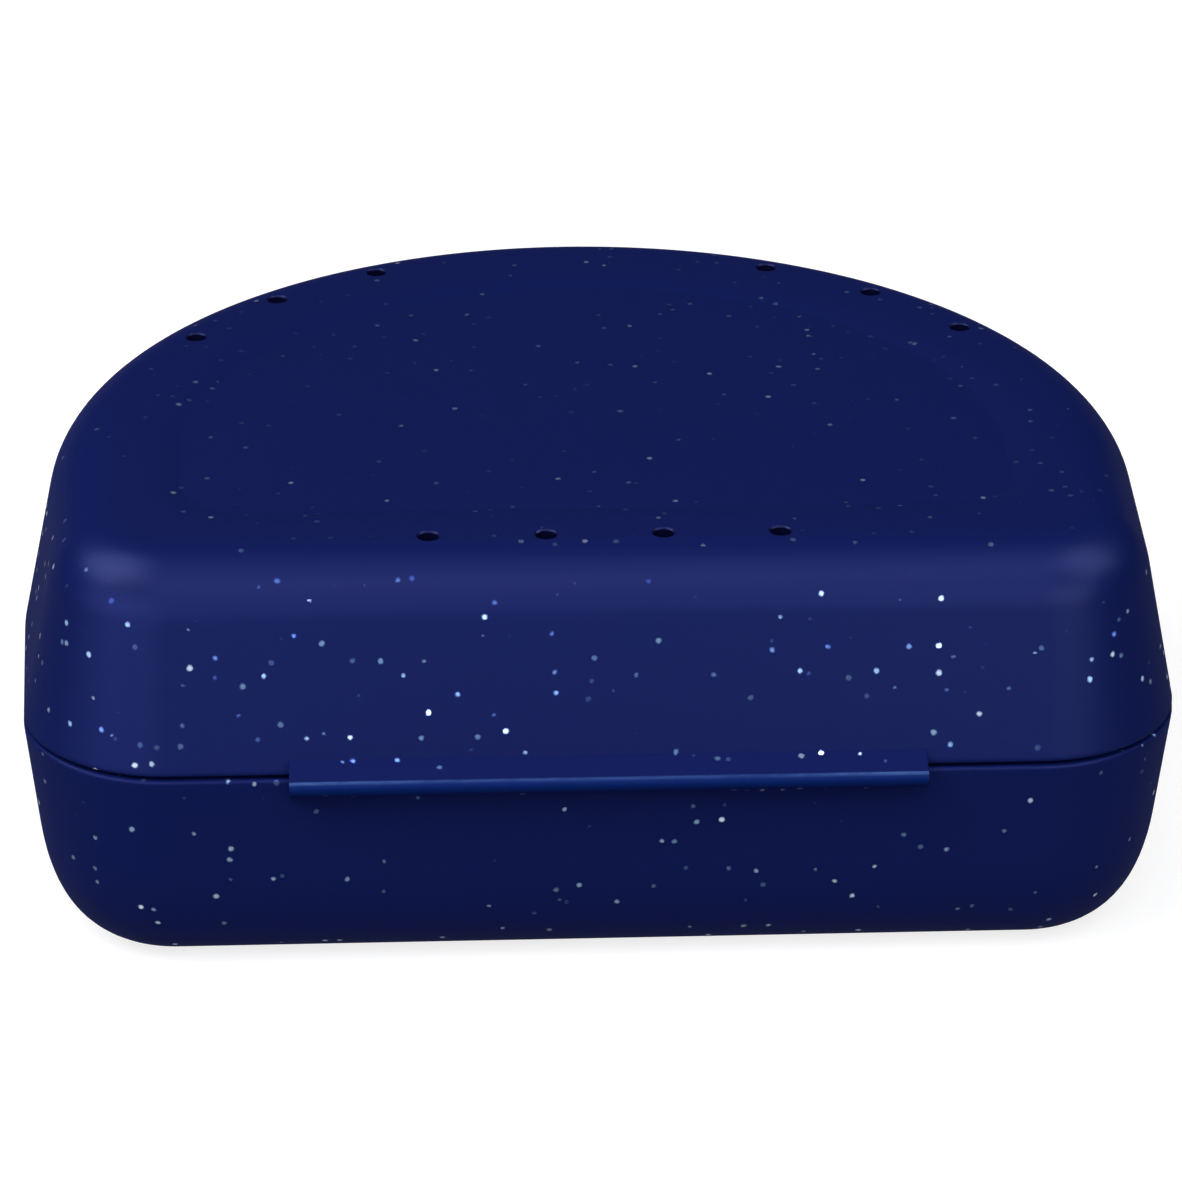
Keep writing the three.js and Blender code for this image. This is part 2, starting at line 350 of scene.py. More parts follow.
def base_section():
    """The base's wall, from the underside up outside, over the tongue and down inside to the floor."""
    foot = quadratic((FOOT_INSET, 0), (base_wall(0), 0), (base_wall(FOOT_RISE), FOOT_RISE), FOOT_STEPS)
    outside = foot + [(0, SEAM)]
    inside = offset(outside, WALL)[::-1]
    tongue_inner = inside[0][0]
    tongue = [
        (TONGUE_OUTER, BASE_RIM),
        (TONGUE_OUTER, TONGUE_TOP - TONGUE_CHAMFER),
        (TONGUE_OUTER + TONGUE_CHAMFER, TONGUE_TOP),
        (tongue_inner - TONGUE_CHAMFER, TONGUE_TOP),
        (tongue_inner, TONGUE_TOP - TONGUE_CHAMFER),
        (tongue_inner, BASE_RIM),
    ]
    underside = (FOOT_INSET + FLAT_BORDER, 0)
    floor = (inside[-1][0] + FLAT_BORDER, WALL)
    inside[-1] = (inside[-1][0], WALL)
    rim = rim_edge(BASE_RIM, base_wall, 1)
    return bordered([underside, *outside[:-1], *rim, *tongue, *inside[1:], floor])


def lid_section():
    """The lid's wall, from the ceiling down inside, round the rim and up outside to the flat top."""
    top_round = arc((TOP_INSET, HEIGHT - TOP_ROUND), TOP_ROUND, math.pi - LID_DRAFT, math.pi / 2, TOP_STEPS)
    outside = [(0, SEAM), *top_round]
    inside = offset(outside, WALL)[::-1]
    ceiling = (inside[0][0] + FLAT_BORDER, HEIGHT - WALL)
    inside[0] = (inside[0][0], HEIGHT - WALL)
    rebate = [
        (lid_wall(REBATE_TOP) + WALL / math.cos(LID_DRAFT), REBATE_TOP),
        (LID_RIM_WIDTH, REBATE_TOP),
        (LID_RIM_WIDTH, LID_RIM),
    ]
    rim = rim_edge(LID_RIM, lid_wall, -1)[::-1]
    flat = (TOP_INSET + FLAT_BORDER, HEIGHT)
    return bordered([ceiling, *inside[:-1], *rebate, *rim, *outside[1:], flat])


def panel_section():
    """The dish in the lid's top: it bends down from the flat ring and ends at a crease round the panel."""
    shares = [step / PANEL_STEPS for step in range(PANEL_STEPS + 1)]
    slope = [(-PANEL_SLOPE_WIDTH * (1 - share), HEIGHT - PANEL_DEPTH * share ** 2) for share in shares]
    return [*slope, (FLAT_BORDER, HEIGHT - PANEL_DEPTH)]


# Tools that are joined to the shells or cut out of them

def hinge_bar(name, section):
    """A bar along the hinge with the given section of (y, z) points, y from the straight wall."""
    bm = bmesh.new()
    points = [bm.verts.new((WEB_LOW.x, FRONT + y, SEAM + z)) for y, z in section]
    face = bm.faces.new(points)
    grown = bmesh.ops.extrude_face_region(bm, geom=[face])["geom"]
    bmesh.ops.translate(bm, vec=(HINGE_LENGTH, 0, 0), verts=of_kind(grown, bmesh.types.BMVert))
    return to_object(name, bm)


def flange_section(side, slope):
    """The wedge above the parting plane where side is 1, and below it where side is -1."""
    tip = (-FOLD_REACH - FOLD_RADIUS * math.cos(FOLD_HALF_ANGLE), FOLD_RADIUS * math.sin(FOLD_HALF_ANGLE))
    gap = LID_RIM - SEAM + SINK
    section = [
        (FLANGE_ROOT, gap),
        (FLANGE_ROOT, tip[1] + (FLANGE_ROOT - tip[0]) * slope),
        tip,
        (-FOLD_REACH - gap / math.tan(FOLD_HALF_ANGLE), gap),
    ]
    return [(y, side * z) for y, z in section]


def lip(reach, bottom):
    """A crescent on the round side, its inner edge inside the wall and its edges rounded."""
    half = LIP_WIDTH / 2
    tip = FRONT + DEPTH + reach
    rise = tip - BACK_CENTRE - math.sqrt(BACK_RADIUS ** 2 - half ** 2)
    outer = (half ** 2 + rise ** 2) / (2 * rise)
    inner = BACK_RADIUS - LIP_ROOT
    bm = bmesh.new()
    arcs = []
    for radius, centre_y in ((outer, tip - outer), (inner, BACK_CENTRE)):
        sweep_angle = 2 * math.asin(half / radius)
        start = bm.verts.new((half, centre_y + radius * math.cos(sweep_angle / 2), bottom))
        spun = bmesh.ops.spin(bm, geom=[start], cent=(0, centre_y, bottom), axis=(0, 0, 1),
                              angle=sweep_angle, steps=LIP_STEPS)["geom_last"]
        arcs.append((start, *of_kind(spun, bmesh.types.BMVert)))
    for pair in zip(*arcs):
        bm.edges.new(pair)
    made = bmesh.ops.contextual_create(bm, geom=bm.edges[:])
    grown = bmesh.ops.extrude_face_region(bm, geom=made["faces"])["geom"]
    bmesh.ops.translate(bm, vec=(0, 0, LIP_THICKNESS), verts=of_kind(grown, bmesh.types.BMVert))
    bmesh.ops.recalc_face_normals(bm, faces=bm.faces)
    rims = [edge for edge in bm.edges if edge.calc_face_angle() > SHARP_ANGLE]
    bmesh.ops.bevel(bm, geom=rims, offset=LIP_BEVEL, affect="EDGES", segments=LIP_BEVEL_STEPS, profile=0.5,
                    material=-1)
    return to_object("lip", bm)


def bead(inset, z):
    """A round bar along the back of a rim."""
    bm = bmesh.new()
    made = bmesh.ops.create_circle(bm, cap_ends=True, radius=BEAD_RADIUS, segments=BEAD_SIDES)
    radius = BACK_RADIUS - inset
    start = Matrix.Translation((0, BACK_CENTRE, z)) @ Matrix.Rotation(-BEAD_HALF_ANGLE, 4, "Z")
    stand = Matrix.Translation((0, radius, 0)) @ Matrix.Rotation(math.pi / 2, 4, "Y")
    bmesh.ops.transform(bm, matrix=start @ stand, verts=made["verts"])
    bmesh.ops.spin(bm, geom=bm.faces[:], cent=(0, BACK_CENTRE, z), axis=(0, 0, 1),
                   angle=2 * BEAD_HALF_ANGLE, steps=BEAD_STEPS)
    return to_object("bead", bm)


def vent_places():
    """Where the vents are: a row along the front, and three either side round the back."""
    places = []
    for i in range(FRONT_VENT_COUNT):
        places.append(((i - (FRONT_VENT_COUNT - 1) / 2) * FRONT_VENT_PITCH, FRONT + VENT_INSET))
    radius = BACK_RADIUS - VENT_INSET
    for angle in BACK_VENT_ANGLES:
        for side in (-1, 1):
            places.append((side * radius * math.sin(angle), BACK_CENTRE + radius * math.cos(angle)))
    return places


def vent_cutters(low, low_radius, high_radius):
    """Upright cutters for all the vents, from height low up past the top."""
    bm = bmesh.new()
    depth = HEIGHT + OVERRUN - low
    for x, y in vent_places():
        bmesh.ops.create_cone(bm, cap_ends=True, segments=VENT_SIDES, radius1=low_radius,
                              radius2=high_radius, depth=depth,
                              matrix=Matrix.Translation((x, y, low + depth / 2)))
    return to_object("vent_cutters", bm)


def mark_bore_shade(piece):
    """Marks the faces of the vents' bores and chamfers, where the material paints shade into the holes."""
    mark = piece.data.attributes.new(BORE_SHADE_MARK, "FLOAT", "FACE")
    for face, value in zip(piece.data.polygons, mark.data):
        if face.normal.z < FLAT_NORMAL_Z and face.center.z > HEIGHT - WALL - OVERRUN:
            gap = min(math.dist(face.center.xy, place) for place in vent_places())
            strength = CHAMFER_SHADE_MARK if face.normal.z > CHAMFER_NORMAL_Z else 1
            value.value = strength if gap < VENT_DIAMETER / 2 + VENT_CHAMFER else 0


# The three pieces of the moulding

def make_base(material):
    """The lower shell, with its flange, its short lip and its snap bead."""
    bm = bmesh.new()
    sweep(bm, BODY_PLAN, base_section())
    for z in (0, WALL):
        bmesh.ops.contextual_create(bm, geom=open_edges(bm, z))
    shell = to_object("base_moulding", bm)
    boolean(shell, hinge_bar("base_flange", flange_section(-1, BASE_FLANGE_SLOPE)), "UNION")
    boolean(shell, lip(BASE_LIP_REACH, BASE_RIM - SINK - LIP_THICKNESS), "UNION")
    boolean(shell, bead(TONGUE_OUTER + BEAD_RADIUS - BEAD_REACH, TONGUE_TOP - BASE_BEAD_DROP), "UNION")
    finish_piece(shell, "base", material, "base_shell")


def make_lid(material):
    """The upper shell, with its dished top, its flange, thumb lip, snap bead and vents."""
    bm = bmesh.new()
    sweep(bm, BODY_PLAN, lid_section())
    sweep(bm, PANEL_PLAN, panel_section())
    bmesh.ops.bridge_loops(bm, edges=open_edges(bm, HEIGHT))
    for z in (HEIGHT - WALL, HEIGHT - PANEL_DEPTH):
        bmesh.ops.contextual_create(bm, geom=open_edges(bm, z))
    shell = to_object("lid_moulding", bm)
    boolean(shell, hinge_bar("lid_flange", flange_section(1, LID_FLANGE_SLOPE)), "UNION")
    boolean(shell, lip(LID_LIP_REACH, LID_RIM + SINK), "UNION")
    boolean(shell, bead(LID_RIM_WIDTH - BEAD_RADIUS + BEAD_REACH, LID_RIM + LID_BEAD_RISE), "UNION")
    radius = VENT_DIAMETER / 2
    boolean(shell, vent_cutters(HEIGHT - WALL - OVERRUN, radius, radius), "DIFFERENCE")
    flared = radius + VENT_CHAMFER
    flare = 2 * VENT_CHAMFER
    boolean(shell, vent_cutters(HEIGHT - flare, flared - flare, flared + OVERRUN), "DIFFERENCE")
    mark_bore_shade(shell)
    finish_piece(shell, "lid", material, "lid_shell")


def make_web(material):
    """The folded web. Its ends run a little way into the flanges, so that no crack shows between them."""
    reach = FOLD_HALF_ANGLE + WEB_OVERLAP_ANGLE
    centre = (-FOLD_REACH, 0)
    inner = FOLD_RADIUS - WEB_THICKNESS
    outside = arc(centre, FOLD_RADIUS - WEB_SINK, math.pi + reach, math.pi - reach, WEB_STEPS)
    inside = arc(centre, inner, math.pi - reach, math.pi + reach, WEB_STEPS)
    web = hinge_bar("hinge_fold", outside + inside)
    finish_piece(web, None, material, "hinge_web")
    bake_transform(web)


# Materials

# Polypropylene, as moulded: the skin is faintly satin, so its shine is a small share of a gloss lacquer's.
# The colour changes a little with the flow of the melt, and the skin has a soft, shallow grain.
PLASTIC_IOR = 1.49
SKIN_IOR = 1.5
SKIN_ROUGHNESS = 0.36
SHELL_SHINE = 0.05
WEB_SHINE = 0.025
SHELL_COLOURS = ("#101c5a", "#101d5c")
# Painted shade: the dark colour put into the vents' bores, where shade falls inside the holes
BORE_SHADE_COLOUR = "#08082c"
FLOW_SIZE = 30
GRAIN_SIZE = 0.8
GRAIN_DEPTH = 0.05
GRAIN_STRENGTH = 0.05

# Glitter: flakes of metallised film, each with a soft rim round its core
FLAKE_SPACING = 1.4
FLAKE_RADIUS = 0.26
FLAKE_CORE_SHARE = 0.45
FLAKE_WOBBLE = 0.12
WOBBLE_SIZE = 0.2
FLAKE_LEAN = 0.7
FLAKE_METAL = 0.75
FLAKE_TINTS = [(0.0, "#2b3858"), (0.3, "#3f5270"), (0.55, "#5e788f"), (0.8, "#8fa7b9"), (1.0, "#ccd8e0")]

# How many of the possible flakes the lid and the base have, and how far above and below the seam that
# changes. Fewer are left in the lid's flat top, where they thin out from one depth below it to another. The
# fewer flakes on the base, and the fewer and fainter ones on the top, are painted shade, standing in for the
# glints that the light gives less there.
LID_FLAKE_SHARE = 0.64
BASE_FLAKE_SHARE = 0.4
FLAKE_CHANGE = 2
TOP_FLAKE_SHARE = 0.35
THINNING_START = TOP_ROUND
THINNING_END = TOP_ROUND / 4

# The web's lighter line, partly the plastic's stress whitening and partly a painted highlight on the crease:
# from where to where it comes in, in shares of the fold's radius above the seam; from where to where it grows
# stronger, in shares of the hinge's length from the middle; how strong it is in the middle; and its streaks,
# which keep to a range of the noise and never fade out
WEB_COLOUR = "#08246a"
# Stress whitening and painted highlight: the colour of the web's lighter line along the crease
WHITENING_AND_HIGHLIGHT_COLOUR = "#4465a6"
WHITENING_AND_HIGHLIGHT_RISE_SHARES = (0.5, 0.72)
WHITENING_AND_HIGHLIGHT_ENDS_SHARES = (0.25, 0.48)
WHITENING_AND_HIGHLIGHT_MIDDLE = 0.45
STREAK_LENGTH = 2.5
STREAK_WIDTH = 0.3
STREAK_RANGE = (0.35, 0.62)
STREAK_LEAST = 0.35


def srgb(code):
    """A hex colour as linear RGBA."""
    channels = [int(code[i:i + 2], 16) / 255 for i in (1, 3, 5)]
    return [c / 12.92 if c <= 0.04045 else ((c + 0.055) / 1.055) ** 2.4 for c in channels] + [1]


def add_node(tree, kind, settings=None, links=None):
    """A node with its settings and input values, and links into it from other nodes' outputs."""
    node = tree.nodes.new(kind)
    for key, value in (settings or {}).items():
        if isinstance(key, str) and hasattr(node, key):
            setattr(node, key, value)
        else:
            node.inputs[key].default_value = value
    for key, output in (links or {}).items():
        tree.links.new(output, node.inputs[key])
    return node


def new_material(name):
    """An empty material and its node tree."""
    material = bpy.data.materials.new(name)
    material.use_nodes = True
    material.node_tree.nodes.clear()
    return material, material.node_tree


def flake_layer(tree, place, share):
    """Glitter flakes: where they show, from 0 at a flake's edge to 1, and random numbers for each.
    Share gives how many of the possible flakes are there."""
    cells = add_node(tree, "ShaderNodeTexVoronoi", {"Scale": 1 / (FLAKE_SPACING * MM)}, {"Vector": place})
    edge = FLAKE_RADIUS / FLAKE_SPACING
    disc = add_node(tree, "ShaderNodeMapRange", {"From Min": edge, "From Max": edge * FLAKE_CORE_SHARE},
                    {"Value": cells.outputs["Distance"]})
    chance = add_node(tree, "ShaderNodeSeparateColor", links={"Color": cells.outputs["Color"]})
    kept = add_node(tree, "ShaderNodeMath", {"operation": "LESS_THAN"},
                    {0: chance.outputs["Blue"], 1: share})
    mask = add_node(tree, "ShaderNodeMath", {"operation": "MULTIPLY"},
                    {0: disc.outputs["Result"], 1: kept.outputs["Value"]})
    return mask.outputs["Value"], cells.outputs["Color"], chance.outputs["Red"]


def polypropylene(tree, shine, colour, more=None):
    """Closes a material's tree with the moulded plastic and its thin satin skin."""
    shader = add_node(tree, "ShaderNodeBsdfPrincipled",
                      {"IOR": PLASTIC_IOR, "Roughness": SKIN_ROUGHNESS, "Specular IOR Level": 0.0,
                       "Coat IOR": SKIN_IOR, "Coat Roughness": SKIN_ROUGHNESS, "Coat Weight": shine},
                      {"Base Color": colour, **(more or {})})
    add_node(tree, "ShaderNodeOutputMaterial", links={"Surface": shader.outputs["BSDF"]})


def glitter_plastic(name):
    """Polypropylene, injection moulded in navy with metallised film glitter in the melt.
    The eye sees a satin, evenly dark blue skin, and flat silver-blue flakes under it that flash or stay dim
    by the way that each one lies."""
    material, tree = new_material(name)
    place = add_node(tree, "ShaderNodeTexCoord").outputs["Object"]

    # A faint change of colour with the flow of the melt
    flow = add_node(tree, "ShaderNodeTexNoise", {"Scale": 1 / (FLOW_SIZE * MM), "Detail": 2.0},
                    {"Vector": place})
    colour = add_node(tree, "ShaderNodeMixRGB",
                      {"Color1": srgb(SHELL_COLOURS[0]), "Color2": srgb(SHELL_COLOURS[1])},
                      {"Fac": flow.outputs["Fac"]})

    # Flakes are cut unevenly, so a small wobble roughens their outlines
    wobble = add_node(tree, "ShaderNodeTexNoise", {"Scale": 1 / (WOBBLE_SIZE * MM), "Detail": 0.0},
                      {"Vector": place})
    wobble = add_node(tree, "ShaderNodeVectorMath", {"operation": "SCALE", "Scale": FLAKE_WOBBLE * MM},
                      {0: wobble.outputs["Color"]})
    place_of_flakes = add_node(tree, "ShaderNodeVectorMath", {"operation": "ADD"},
                               {0: place, 1: wobble.outputs["Vector"]}).outputs["Vector"]

    # Painted shade: the base's wall shows fewer flakes than the lid's, and the lid's flat top fewer and
    # fainter ones, standing in for the glints that the light gives less there.
    height = add_node(tree, "ShaderNodeSeparateXYZ", links={"Vector": place}).outputs["Z"]
    share = add_node(tree, "ShaderNodeMapRange", {
        "From Min": (SEAM - FLAKE_CHANGE) * MM, "From Max": (SEAM + FLAKE_CHANGE) * MM,
        "To Min": BASE_FLAKE_SHARE, "To Max": LID_FLAKE_SHARE}, {"Value": height})
    fade = add_node(tree, "ShaderNodeMapRange", {
        "From Min": (HEIGHT - THINNING_START) * MM, "From Max": (HEIGHT - THINNING_END) * MM,
        "To Min": 1.0, "To Max": TOP_FLAKE_SHARE}, {"Value": height})
    share = add_node(tree, "ShaderNodeMath", {"operation": "MULTIPLY"},
                     {0: share.outputs["Result"], 1: fade.outputs["Result"]})
    mask, scatter, chance = flake_layer(tree, place_of_flakes, share.outputs["Value"])
    mask = add_node(tree, "ShaderNodeMath", {"operation": "MULTIPLY"},
                    {0: mask, 1: fade.outputs["Result"]}).outputs["Value"]

    # Each flake has one tint, from a dim steel blue to a bright silver
    tint = add_node(tree, "ShaderNodeValToRGB", links={"Fac": chance})
    stops = tint.color_ramp.elements
    while len(stops) < len(FLAKE_TINTS):
        stops.new(0.5)
    for stop, (position, code) in zip(stops, FLAKE_TINTS):
        stop.position = position
        stop.color = srgb(code)
    painted = add_node(tree, "ShaderNodeMixRGB", links={
        "Fac": mask, "Color1": colour.outputs["Color"], "Color2": tint.outputs["Color"]})

    # Painted shade: the vents' bores and chamfers are darkened, standing in for the shade inside the holes
    bore_shade = add_node(tree, "ShaderNodeAttribute", {"attribute_name": BORE_SHADE_MARK})
    painted = add_node(tree, "ShaderNodeMixRGB", {"Color2": srgb(BORE_SHADE_COLOUR)},
                       {"Fac": bore_shade.outputs["Fac"], "Color1": painted.outputs["Color"]})

    # Each flake leans its own way, by random numbers that are taken about their middle, which is a half
    lean = add_node(tree, "ShaderNodeVectorMath", {"operation": "SUBTRACT", 1: (0.5, 0.5, 0.5)},
                    {0: scatter})
    lean = add_node(tree, "ShaderNodeVectorMath", {"operation": "SCALE"},
                    {0: lean.outputs["Vector"], "Scale": mask})
    lean = add_node(tree, "ShaderNodeVectorMath", {"operation": "SCALE", "Scale": FLAKE_LEAN},
                    {0: lean.outputs["Vector"]})

    # The grain of the skin, with the flakes' lean added to it
    grain = add_node(tree, "ShaderNodeTexNoise", {"Scale": 1 / (GRAIN_SIZE * MM), "Detail": 3.0},
                     {"Vector": place})
    bump = add_node(tree, "ShaderNodeBump", {"Strength": GRAIN_STRENGTH, "Distance": GRAIN_DEPTH * MM},
                    {"Height": grain.outputs["Fac"]})
    leaning = add_node(tree, "ShaderNodeVectorMath", {"operation": "ADD"},
                       {0: bump.outputs["Normal"], 1: lean.outputs["Vector"]})
    normal = add_node(tree, "ShaderNodeVectorMath", {"operation": "NORMALIZE"},
                      {0: leaning.outputs["Vector"]})

    metal = add_node(tree, "ShaderNodeMath", {"operation": "MULTIPLY", 1: FLAKE_METAL}, {0: mask})
    polypropylene(tree, SHELL_SHINE, painted.outputs["Color"],
                  {"Metallic": metal.outputs["Value"], "Normal": normal.outputs["Vector"]})
    return material


def flexed_plastic(name):
    """The same polypropylene where it is folded thin. It looks a clearer blue there, as a little light gets
    through, and a streaky lighter line runs where it leaves the lid's flange, most near its ends: partly the
    plastic's stress whitening, partly a painted highlight on the crease."""
    material, tree = new_material(name)
    place = add_node(tree, "ShaderNodeTexCoord").outputs["Object"]
    axes = add_node(tree, "ShaderNodeSeparateXYZ", links={"Vector": place})

    # The line's height on the web, and its strength along it
    start, full = [(SEAM + share * FOLD_RADIUS) * MM for share in WHITENING_AND_HIGHLIGHT_RISE_SHARES]
    rise = add_node(tree, "ShaderNodeMapRange", {"From Min": start, "From Max": full},
                    {"Value": axes.outputs["Z"]})
    across = add_node(tree, "ShaderNodeMath", {"operation": "ABSOLUTE"}, {0: axes.outputs["X"]})
    start, full = [share * HINGE_LENGTH * MM for share in WHITENING_AND_HIGHLIGHT_ENDS_SHARES]
    ends = add_node(tree, "ShaderNodeMapRange",
                    {"From Min": start, "From Max": full, "To Min": WHITENING_AND_HIGHLIGHT_MIDDLE},
                    {"Value": across.outputs["Value"]})

    # Streaks drawn out along the hinge
    fineness = [1 / (size * MM) for size in (STREAK_LENGTH, STREAK_WIDTH, STREAK_WIDTH)]
    drawn_out = add_node(tree, "ShaderNodeMapping", {"Scale": fineness}, {"Vector": place})
    streaks = add_node(tree, "ShaderNodeTexNoise", {"Scale": 1.0, "Detail": 4.0, "Roughness": 0.7},
                       {"Vector": drawn_out.outputs["Vector"]})
    streaks = add_node(tree, "ShaderNodeMapRange",
                       {"From Min": STREAK_RANGE[0], "From Max": STREAK_RANGE[1], "To Min": STREAK_LEAST},
                       {"Value": streaks.outputs["Fac"]})
    # The line's strength: stress whitening together with a painted highlight along the crease
    white = add_node(tree, "ShaderNodeMath", {"operation": "MULTIPLY"},
                     {0: rise.outputs["Result"], 1: ends.outputs["Result"]})
    white = add_node(tree, "ShaderNodeMath", {"operation": "MULTIPLY"},
                     {0: white.outputs["Value"], 1: streaks.outputs["Result"]})
    colour = add_node(tree, "ShaderNodeMixRGB",
                      {"Color1": srgb(WEB_COLOUR), "Color2": srgb(WHITENING_AND_HIGHLIGHT_COLOUR)},
                      {"Fac": white.outputs["Value"]})
    polypropylene(tree, WEB_SHINE, colour.outputs["Color"])
    return material


# Camera: fitted to the photograph's own view of the case
FOCAL_LENGTH = 140
SENSOR = 36
VIEW_AZIMUTH = math.radians(-3.15)
VIEW_ELEVATION = math.radians(26.06)
VIEW_ROLL = math.radians(-0.463)
VIEW_DISTANCE = 366.58
AIM = Vector((0, FRONT + DEPTH / 2, 0))
AIM_RIGHT = 0.52
AIM_UP = 13.27
NEAREST_SEEN = 10


def make_camera():
    """The camera, which looks at the case from a little to its left and above."""
    back = Vector((
        math.sin(VIEW_AZIMUTH) * math.cos(VIEW_ELEVATION),
        -math.cos(VIEW_AZIMUTH) * math.cos(VIEW_ELEVATION),
        math.sin(VIEW_ELEVATION),
    ))
    right = Vector((math.cos(VIEW_AZIMUTH), math.sin(VIEW_AZIMUTH), 0))
    up = back.cross(right)
    data = bpy.data.cameras.new("camera")
    data.sensor_width = SENSOR
    data.lens = FOCAL_LENGTH
    data.clip_start = NEAREST_SEEN * MM
    camera = bpy.data.objects.new("camera", data)
    bpy.context.scene.collection.objects.link(camera)
    axes = Matrix((right, up, back)).transposed() @ Matrix.Rotation(-VIEW_ROLL, 3, "Z")
    place = AIM + back * VIEW_DISTANCE + right * AIM_RIGHT + up * AIM_UP
    camera.matrix_world = Matrix.Translation(place * MM) @ axes.to_4x4()
    bpy.context.scene.camera = camera


# Stage and light

# The kinds of ray that see the white background
SEEN_RAYS = ("Is Camera Ray", "Is Glossy Ray", "Is Transmission Ray")

# The table top, just under the case: near the case it glows less than white, so that a shadow shows, and
# far off it is as white as the world
FLOOR_REACH = 3000
FLOOR_DROP = 0.05
FLOOR_COLOUR = "#acacae"
NEAR_GLOW = 0.8
NEAR_FLOOR = 200
FAR_FLOOR = 700

# The world: how much it lights, how bright it is overhead where it is mirrored, and how far a mirrored ray
# rises, in shares of its length, where the white horizon ends
WORLD_LIGHT = 0.02
MIRRORED_SKY = 0.05
HORIZON_RISE = 0.06

# Lamps light the case, and cards only shine in it. Each has a name, an azimuth from the front and an
# elevation, both in degrees, and a power in watts. Mirrored, the back lamp would wash out the flat top, so
# it lights and doesn't shine.
LAMP_DISTANCE = 600
LAMP_SIZE = 300
CARD_SIZE = 420
CARD_COLOUR = "#cfdcff"
LAMPS = [
    ("key", 0, 50, 0.88),
    ("left_fill", -38, 32, 0.45),
    ("right_fill", 38, 32, 0.5),
    ("high_left", -60, 50, 1.6),
    ("high_right", 60, 50, 0.42),
]
BACK_LAMP = ("back", 180, 20, 0.7)
CARDS = [
    ("front_card", 0, 10, 2.4),
    ("edge_card", 0, 46, 3.6),
    ("high_edge_card", 0, 72, 3.4),
    ("left_card", -32, 10, 8.5),
    ("right_card", 32, 10, 9),
    ("far_left_card", -62, 10, 8),
    ("left_shoulder_card", -96, 52, 18),
    ("right_shoulder_card", 76, 48, 12),
]


def seen_share(tree):
    """1 for rays that see the background, straight or in a reflection, and 0 for those that light things."""
    path = add_node(tree, "ShaderNodeLightPath")
    total = path.outputs[SEEN_RAYS[0]]
    for name in SEEN_RAYS[1:]:
        total = add_node(tree, "ShaderNodeMath", {"operation": "MAXIMUM"},
                         {0: total, 1: path.outputs[name]}).outputs["Value"]
    return total


def make_floor():
    """A white table top that bounces little light back, so that the case's base stays as dark as it is."""
    material, tree = new_material("white table")
    paper = add_node(tree, "ShaderNodeBsdfDiffuse", {"Color": srgb(FLOOR_COLOUR)})
    glow = add_node(tree, "ShaderNodeEmission", {"Color": srgb("#ffffff")})
    place = add_node(tree, "ShaderNodeTexCoord").outputs["Object"]
    distance = add_node(tree, "ShaderNodeVectorMath", {"operation": "LENGTH"}, {0: place})
    shade = add_node(tree, "ShaderNodeMapRange", {
        "From Min": NEAR_FLOOR * MM, "From Max": FAR_FLOOR * MM, "To Min": NEAR_GLOW, "To Max": 1.0},
        {"Value": distance.outputs["Value"]})
    level = add_node(tree, "ShaderNodeMath", {"operation": "MULTIPLY"},
                     {0: shade.outputs["Result"], 1: seen_share(tree)})
    tree.links.new(level.outputs["Value"], glow.inputs["Strength"])
    both = add_node(tree, "ShaderNodeAddShader",
                    links={0: paper.outputs["BSDF"], 1: glow.outputs["Emission"]})
    add_node(tree, "ShaderNodeOutputMaterial", links={"Surface": both.outputs["Shader"]})
    bm = bmesh.new()
    bmesh.ops.create_grid(bm, x_segments=1, y_segments=1, size=FLOOR_REACH)
    bmesh.ops.translate(bm, vec=(0, 0, -FLOOR_DROP), verts=bm.verts)
    bmesh.ops.scale(bm, vec=(MM, MM, MM), verts=bm.verts)
    floor = to_object("floor", bm)
    floor.data.materials.append(material)


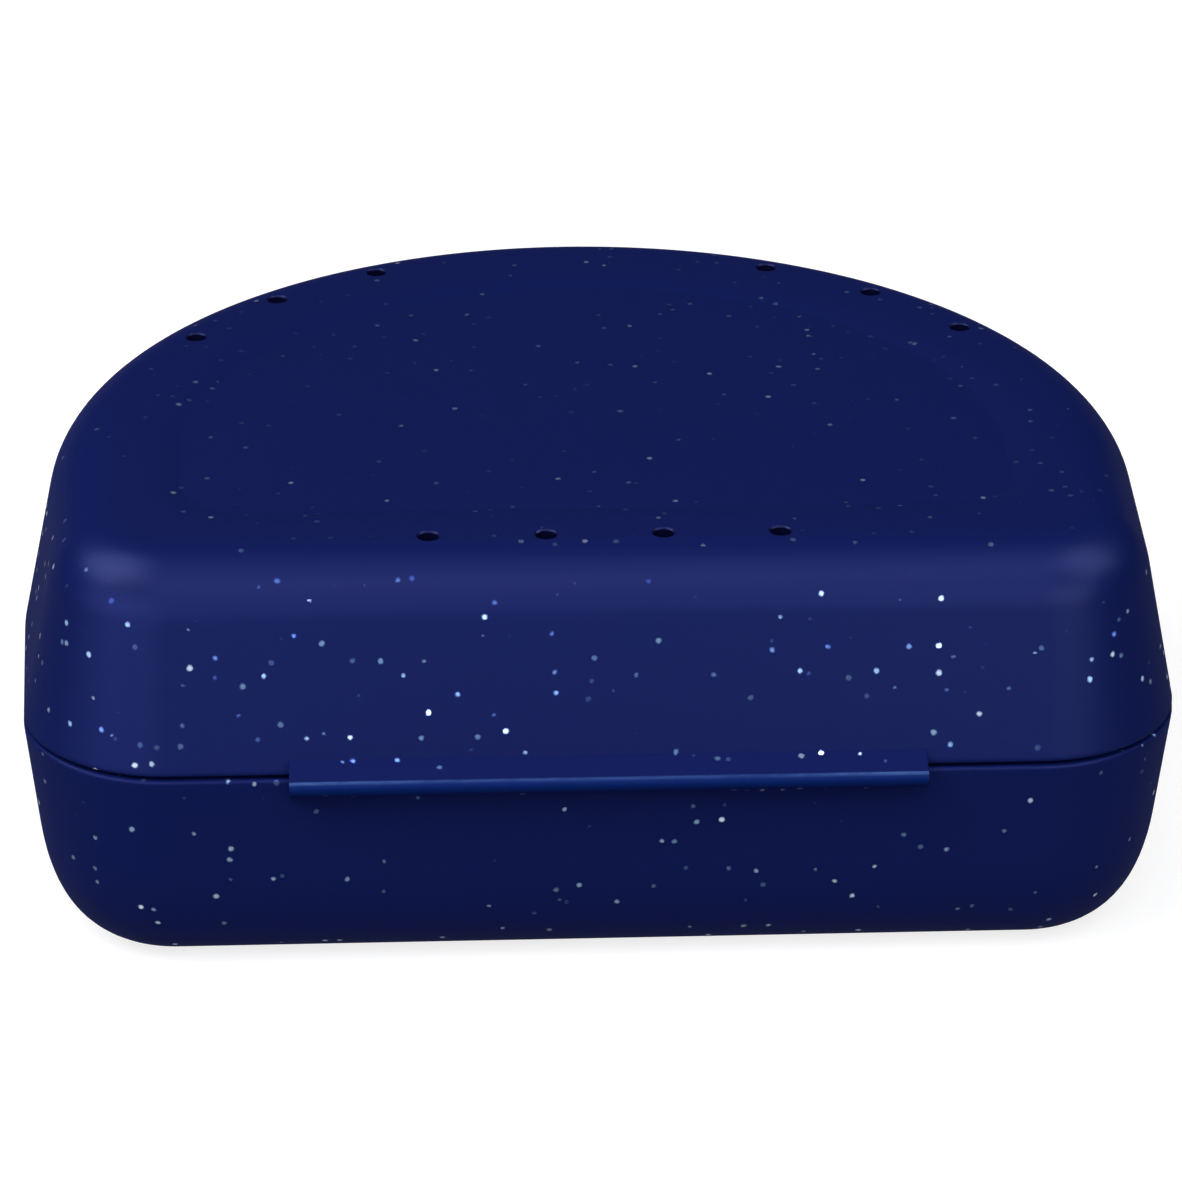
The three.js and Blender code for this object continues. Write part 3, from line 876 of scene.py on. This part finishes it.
def make_world():
    """Dim all round for light, and white to look at. Mirrored, it is white at the horizon and dark overhead,
    as a studio is."""
    world = bpy.data.worlds.new("studio")
    world.use_nodes = True
    tree = world.node_tree
    tree.nodes.clear()
    direction = add_node(tree, "ShaderNodeTexCoord").outputs["Generated"]
    height = add_node(tree, "ShaderNodeSeparateXYZ", links={"Vector": direction}).outputs["Z"]
    fade = add_node(tree, "ShaderNodeMapRange",
                    {"From Max": HORIZON_RISE, "To Min": 1.0, "To Max": MIRRORED_SKY}, {"Value": height})
    path = add_node(tree, "ShaderNodeLightPath")
    mirrored = add_node(tree, "ShaderNodeMath", {"operation": "MULTIPLY"},
                        {0: fade.outputs["Result"], 1: path.outputs["Is Glossy Ray"]})
    straight = add_node(tree, "ShaderNodeMath", {"operation": "MAXIMUM"},
                        {0: path.outputs["Is Camera Ray"], 1: path.outputs["Is Transmission Ray"]})
    seen = add_node(tree, "ShaderNodeMath", {"operation": "MAXIMUM"},
                    {0: straight.outputs["Value"], 1: mirrored.outputs["Value"]})
    level = add_node(tree, "ShaderNodeMath", {"operation": "MAXIMUM", 1: WORLD_LIGHT},
                     {0: seen.outputs["Value"]})
    light = add_node(tree, "ShaderNodeBackground", {"Color": srgb("#ffffff")},
                     {"Strength": level.outputs["Value"]})
    add_node(tree, "ShaderNodeOutputWorld", links={"Surface": light.outputs["Background"]})
    bpy.context.scene.world = world


def make_lamp(name, azimuth, elevation, power, lights=True, shines=True):
    """A square soft box that faces the case, placed like a camera at azimuth and elevation in degrees.
    One that lights does so all over; one that shines is mirrored in the surfaces."""
    a, e = math.radians(azimuth), math.radians(elevation)
    back = Vector((math.sin(a) * math.cos(e), -math.cos(a) * math.cos(e), math.sin(e)))
    data = bpy.data.lights.new(name, "AREA")
    data.shape = "SQUARE"
    data.size = LAMP_SIZE * MM
    data.energy = power
    lamp = bpy.data.objects.new(name, data)
    lamp.visible_diffuse = lights
    lamp.visible_glossy = shines
    bpy.context.scene.collection.objects.link(lamp)
    place = Vector((0, 0, SEAM)) + back * LAMP_DISTANCE
    facing = back.to_track_quat("Z", "Y").to_matrix().to_4x4()
    lamp.matrix_world = Matrix.Translation(place * MM) @ facing
    return data


def make_card(name, azimuth, elevation, power):
    """A cool white card beside the set: it only shows as a soft shine in the surfaces."""
    card = make_lamp(name, azimuth, elevation, power, lights=False)
    card.size = CARD_SIZE * MM
    card.color = srgb(CARD_COLOUR)[:3]


make_camera()
make_floor()
make_world()
for lamp in LAMPS:
    make_lamp(*lamp)
make_lamp(*BACK_LAMP, shines=False)
for card in CARDS:
    make_card(*card)

shell_plastic = glitter_plastic("navy glitter polypropylene")
make_base(shell_plastic)
make_lid(shell_plastic)
make_web(flexed_plastic("navy polypropylene, flexed"))

bpy.context.scene.view_settings.view_transform = "Standard"
